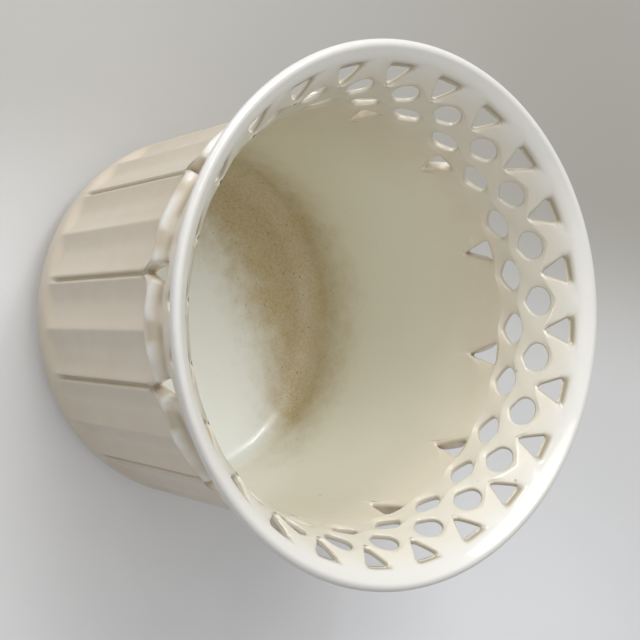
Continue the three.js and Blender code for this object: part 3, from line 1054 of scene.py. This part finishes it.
def through_wall(radius, z):
    """How far through the wall a point is: 0 on the outside, 1 on the inside."""
    thickness = outer_radius(z) - inner_radius(np.maximum(z, FLOOR_TOP))
    return (outer_radius(z) - radius) / thickness


def inside_face(points):
    """1 on the inside of wall and floor, 0 outside: twice the way through the wall, less 1."""
    z = points[:, 2]
    within = clamp(through_wall(np.hypot(points[:, 0], points[:, 1]), z) * 2 - 1)
    return np.where(z < FOOT_TOP + UNDERSIDE_MARGIN, 0, within)


def pool_and_painted_light(points):
    """Where glaze gathers or painted shade falls, above 0, or glaze runs thin with a painted
    highlight, below 0.

    Glaze gathers in the grooves. The pits at their ends, the coves and the roll's valley under
    the lattice hold pooled glaze and painted shade; the gaps between the roll's lumps and the
    bevels inside hold painted shade; the cut walls of the openings take an olive tint that is
    partly painted shade. The roll's crest is whiter, as thin glaze and a painted highlight.
    Each is a bell curve or a smooth step.
    """
    radius = np.hypot(points[:, 0], points[:, 1])
    angle = np.degrees(np.arctan2(points[:, 1], points[:, 0]))
    z = points[:, 2]
    outside = radius > (outer_radius(z) + inner_radius(z)) / 2
    arch = arch_height(angle)
    uneven = lumps(angle)

    cove = COVE_POOL_AND_SHADE * bell(z - arch - COVE_ABOVE_ARCH, COVE_HALF_WIDTH)
    cove = cove * clamp(COVE_LEAST + flute_depth(angle) / FLUTE_DEPTH)
    away = np.radians(HALF_PANEL - in_panel(angle)) * radius
    pit = PIT_POOL_AND_SHADE * bell(away, PIT_HALF_WIDTH) * bell(z - PIT_LEVEL, PIT_HALF_HEIGHT)
    valley = VALLEY_POOL_AND_SHADE * bell(z - VALLEY_LEVEL, VALLEY_HALF_WIDTH)
    valley = valley * smooth(lumps(angle + VALLEY_ANGLE), *VALLEY_LUMPS)
    # Painted highlight on the roll's crest, as thin glaze, and painted shade in the gaps between
    # its lumps
    crest = bell(z - CREST_LEVEL + uneven, CREST_HALF_WIDTH) * smooth(uneven, *CREST_LUMPS)
    gap_shade = GAP_SHADE * bell(z - CREST_LEVEL, GAP_HALF_WIDTH) * smooth(-uneven, *GAP_LUMPS)
    pools_and_shade = [GROOVE_POOL * groove_shape(angle, z), cove, pit, valley]
    roll_highlight_and_shade = (gap_shade - crest) * smooth(z - arch, *ROLL_ABOVE_ARCH)
    pool_and_shade = np.where(z < SHOULDER_TOP, np.maximum.reduce(pools_and_shade) + roll_highlight_and_shade, 0)

    sunk = radius - inner_radius(np.maximum(z, FLOOR_TOP))
    # Painted shade on the bevels inside; an olive tint on the cut walls, partly painted shade
    bevel = BEVEL_SHADE * smooth(sunk, *BEVEL_SUNK) * (1 - smooth(sunk, *BEVEL_TOO_DEEP))
    bevel = bevel * smooth(z, *BEVEL_LEVELS)
    cut = CUT_TINT_AND_SHADE * smooth(1 - np.abs(2 * through_wall(radius, z) - 1), *CUT_DEPTH)
    cut = cut * smooth(z, *CUT_LEVELS)
    return np.where(z < COLLAR_TOP - LIP_MARGIN, np.where(outside, pool_and_shade, bevel) + cut, 0)


GLAZE = glaze_material()
BARE_CLAY = clay_material()

PARTS = {
    "foot_ring": (foot_patches, "foot_ring_clay", "bare_clay", BARE_CLAY),
    "base_dish": (dish_patches, "base_dish_glazed", "glaze", GLAZE),
    "fluted_body": (body_patches, "fluted_body_glazed", "glaze", GLAZE),
    "arched_shoulder": (shoulder_patches, "arched_shoulder_glazed", "glaze", GLAZE),
    "lattice_collar": (collar_patches, "lattice_collar_glazed", "glaze", GLAZE),
    "rim_lip": (lip_patches, "rim_lip_glazed", "glaze", GLAZE),
}

shapes = {node: weld(make()) for node, (make, _, _, _) in PARTS.items()}
normals = all_normals(shapes)
used = 0
for node, (_, name, slot, material) in PARTS.items():
    points, faces, hidden = shapes[node]
    mesh = make_mesh(name, points, faces, hidden, normals[used : used + len(points)])
    used += len(points)
    # Pooled glaze with painted shade and highlight, and the inside face, as attributes
    for label, values in (("glaze_pool_and_painted_light", pool_and_painted_light(points)), ("inside", inside_face(points))):
        layer = mesh.attributes.new(label, "FLOAT", "POINT")
        layer.data.foreach_set("value", values.astype(np.float32))
    mesh.materials.append(material)
    piece = new_object(name, mesh)
    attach(piece, "root")
    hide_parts(node)

# ---- stage, light and camera

# The pot repeats every 30 degrees, so the camera's side of it is free
TURN = Matrix.Rotation(np.radians(60), 4, "Z")

# Cloth: colours in linear light, and bands for remap in metres. X goes to the near side, Y right
CLOTH_HALF = 6
CLOTH_FAR = (0.39, 0.383, 0.367, 1)
CLOTH_FAR_RIGHT = (0.28, 0.268, 0.235, 1)
# Near side lavender grey, painted lighter to the left where the pot's shadow falls
CLOTH_NEAR_LEFT_PAINTED_LIGHT = (0.69, 0.695, 0.705, 1)
CLOTH_NEAR_RIGHT = (0.62, 0.625, 0.64, 1)
CLOTH_AWAY = (0.58, 0.58, 0.59, 1)
CLOTH_CLOUD = (0.3, 0.29, 0.28, 1)
FAR_TO_RIGHT = (-0.05, 0.3)
NEAR_PAINTED_LIGHT_FADE = (-0.12, 0.03)
NEAR_EDGE = 0.013
NEAR_EDGE_SLANT = -0.2
NEAR_EDGE_FIRM = (-0.1, -0.01, 0.0, 0.6)
NEAR_EDGE_SOFT = (-0.05, 0.13, 0.0, 0.4)
AWAY_BAND = (0.2, 0.7)
CLOUD_BAND = (0.35, 0.65, 0.0, 0.08)
GLOW_BAND = (0.3, 2.0, 0.25, 0.8)
CLOTH_CLOUD_SCALE = 9.0
CLOTH_ROUGHNESS = 0.9

# Lamps: name, direction from the pot, distance and size in metres, power in watts, and colour
POT_MIDDLE = Vector((0, 0, 0.07))
WHITE = (1, 1, 1)
LAMPS = (
    ("window", (-0.62, 0.2, 0.8), 1.3, (0.06, 0.36), 2, (0.82, 0.9, 1)),
    ("sky", (-0.62, 0.1, 0.8), 1.3, (0.8, 0.8), 9, WHITE),
    ("side", (-0.95, -0.24, 0.22), 1.2, (0.4, 0.4), 4.8, WHITE),
    ("above", (0, -0.35, 0.95), 1.3, (1.0, 1.0), 3.5, WHITE),
    ("fill", (0.6, -0.1, 0.75), 1.3, (1.0, 1.0), 0.8, WHITE),
    ("glint", (-0.82, -0.48, 0.31), 1.3, (0.12, 0.08), 0.6, WHITE),
    ("glint_two", (-0.585, -0.722, 0.371), 1.3, (0.12, 0.08), 0.6, WHITE),
    ("glint_three", (-0.013, -0.912, 0.411), 1.3, (0.12, 0.08), 0.6, WHITE),
)
STUDIO_COLOUR = (0.63, 0.62, 0.605, 1)
STUDIO_LIGHT = 0.4
STUDIO_SEEN_MORE = 0.63

# Camera: its place in metres, the way back from the pot and the way to the right
CAMERA_LENS = 137.8
CAMERA_SENSOR = 36
CAMERA_CLIP = 0.05
CAMERA_PLACE = Vector((-0.033875, -0.541614, 0.779999))
CAMERA_BACK = Vector((-0.040392, -0.617905, 0.785215)).normalized()
CAMERA_RIGHT = Vector((0.054545, 0.783321, 0.61922))


def seen_directly(tree):
    """1 where the camera or a glossy reflection looks, and 0 where light falls on the pot."""
    rays = tree.nodes.new("ShaderNodeLightPath").outputs
    return math_node(tree, "MAXIMUM", rays["Is Camera Ray"], rays["Is Glossy Ray"])


def cloth_material():
    """Pale cloth: warm grey and darker to the right on the far side, lavender grey on the near,
    painted lighter to the left where the pot's shadow falls.

    The camera and the glaze's reflections see a little more light on it than it gives the pot.
    """
    material, tree, shader, place = new_material("pale_cloth")
    sides = add_node(tree, "SeparateXYZ", {0: place}).outputs
    beyond_edge = math_node(tree, "SUBTRACT", sides[0], NEAR_EDGE)
    nearer = math_node(tree, "MULTIPLY_ADD", sides[1], NEAR_EDGE_SLANT, beyond_edge)
    firm, soft = remap(tree, nearer, *NEAR_EDGE_FIRM), remap(tree, nearer, *NEAR_EDGE_SOFT)
    # Painted light: the near side is lighter to the left, where the pot's shadow falls
    painted_light_fade = remap(tree, sides[1], *NEAR_PAINTED_LIGHT_FADE)
    near_colour_and_painted_light = mixed_colour(tree, painted_light_fade, CLOTH_NEAR_LEFT_PAINTED_LIGHT, CLOTH_NEAR_RIGHT)
    away = add_node(tree, "VectorMath", {0: place}, operation="LENGTH").outputs["Value"]
    clouds = noise(tree, place, CLOTH_CLOUD_SCALE, 4.0)
    colour = painted(
        tree,
        CLOTH_FAR,
        (remap(tree, sides[1], *FAR_TO_RIGHT), CLOTH_FAR_RIGHT),
        (math_node(tree, "ADD", firm, soft), near_colour_and_painted_light),
        (remap(tree, away, *AWAY_BAND), CLOTH_AWAY),
        (remap(tree, clouds, *CLOUD_BAND), CLOTH_CLOUD),
    )
    glow = product(tree, seen_directly(tree), remap(tree, away, *GLOW_BAND))
    feed(tree, shader, {"Base Color": colour, "Roughness": CLOTH_ROUGHNESS})
    feed(tree, shader, {"Emission Color": colour, "Emission Strength": glow})
    return material


def area_lamp(name, way, distance, size, power, colour):
    """A soft box at a distance from the pot's middle in a direction, looking back at it."""
    lamp = bpy.data.lights.new(name, "AREA")
    lamp.shape = "RECTANGLE"
    lamp.size, lamp.size_y = size
    lamp.energy = power
    lamp.color = colour
    back = Vector(way).normalized()
    facing = back.to_track_quat("Z", "Y").to_matrix().to_4x4()
    place = Matrix.Translation(back * distance + POT_MIDDLE)
    new_object(name, lamp).matrix_world = TURN @ place @ facing


floor_mesh = bpy.data.meshes.new("floor")
low, high = -CLOTH_HALF, CLOTH_HALF
floor_corners = [(low, low, 0), (high, low, 0), (high, high, 0), (low, high, 0)]
floor_mesh.from_pydata(floor_corners, [], [(0, 1, 2, 3)])
floor_mesh.materials.append(cloth_material())
floor = new_object("floor", floor_mesh)
floor.matrix_world = TURN

for lamp in LAMPS:
    area_lamp(*lamp)

world = bpy.data.worlds.new("studio")
bpy.context.scene.world = world
world.use_nodes = True
studio = world.node_tree
seen_more = product(studio, seen_directly(studio), STUDIO_SEEN_MORE)
strength = math_node(studio, "ADD", seen_more, STUDIO_LIGHT)
feed(studio, studio.nodes["Background"], {"Color": STUDIO_COLOUR, "Strength": strength})

camera_data = bpy.data.cameras.new("camera")
camera_data.sensor_width = CAMERA_SENSOR
camera_data.lens = CAMERA_LENS
camera_data.clip_start = CAMERA_CLIP
camera = new_object("camera", camera_data)
camera_up = CAMERA_BACK.cross(CAMERA_RIGHT).normalized()
camera_right = camera_up.cross(CAMERA_BACK)
axes = Matrix((camera_right, camera_up, CAMERA_BACK)).transposed().to_4x4()
camera.matrix_world = TURN @ Matrix.Translation(CAMERA_PLACE) @ axes
bpy.context.scene.camera = camera

bpy.context.scene.view_settings.view_transform = "Standard"
